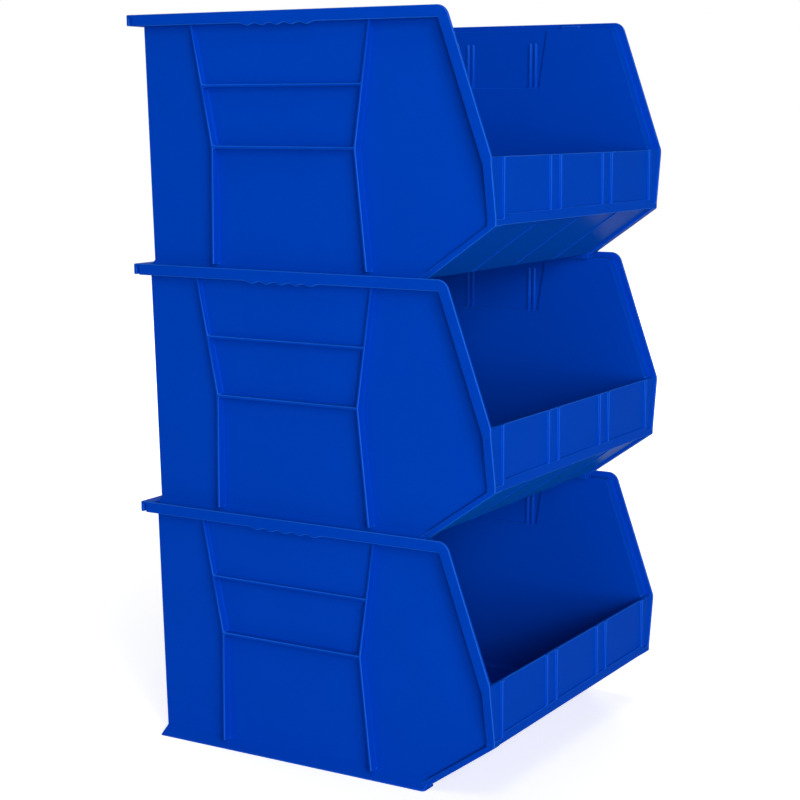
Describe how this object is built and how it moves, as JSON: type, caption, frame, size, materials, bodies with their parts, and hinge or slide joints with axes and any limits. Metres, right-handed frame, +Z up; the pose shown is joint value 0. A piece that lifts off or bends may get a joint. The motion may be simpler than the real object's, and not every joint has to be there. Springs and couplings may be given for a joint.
{
  "type": "stackable storage bin",
  "caption": "Stack of open plastic storage bins with a low hopper front, outside ribs, label frames and flared feet that nest in the ledge of the bin below.",
  "frame": {"origin": "on the floor under the middle of the stack's bounding box", "axes": "+Z up, the open hopper front faces -Y, X runs across the width"},
  "size_m": [0.419, 0.457, 0.823],
  "materials": {
    "bin_plastic": "satin moulded polypropylene"
  },
  "bodies": {
    "bottom_bin": {"bottom_bin": "bin_plastic"},
    "middle_bin": {"middle_bin": "bin_plastic"},
    "top_bin": {"top_bin": "bin_plastic"}
  },
  "joints": [
    {"name": "middle_bin_lift", "type": "slide", "parent": "bottom_bin", "child": "middle_bin", "axis": [0, 0, 1], "range_m": [0, 0.3]},
    {"name": "top_bin_lift", "type": "slide", "parent": "middle_bin", "child": "top_bin", "axis": [0, 0, 1], "range_m": [0, 0.3]}
  ]
}
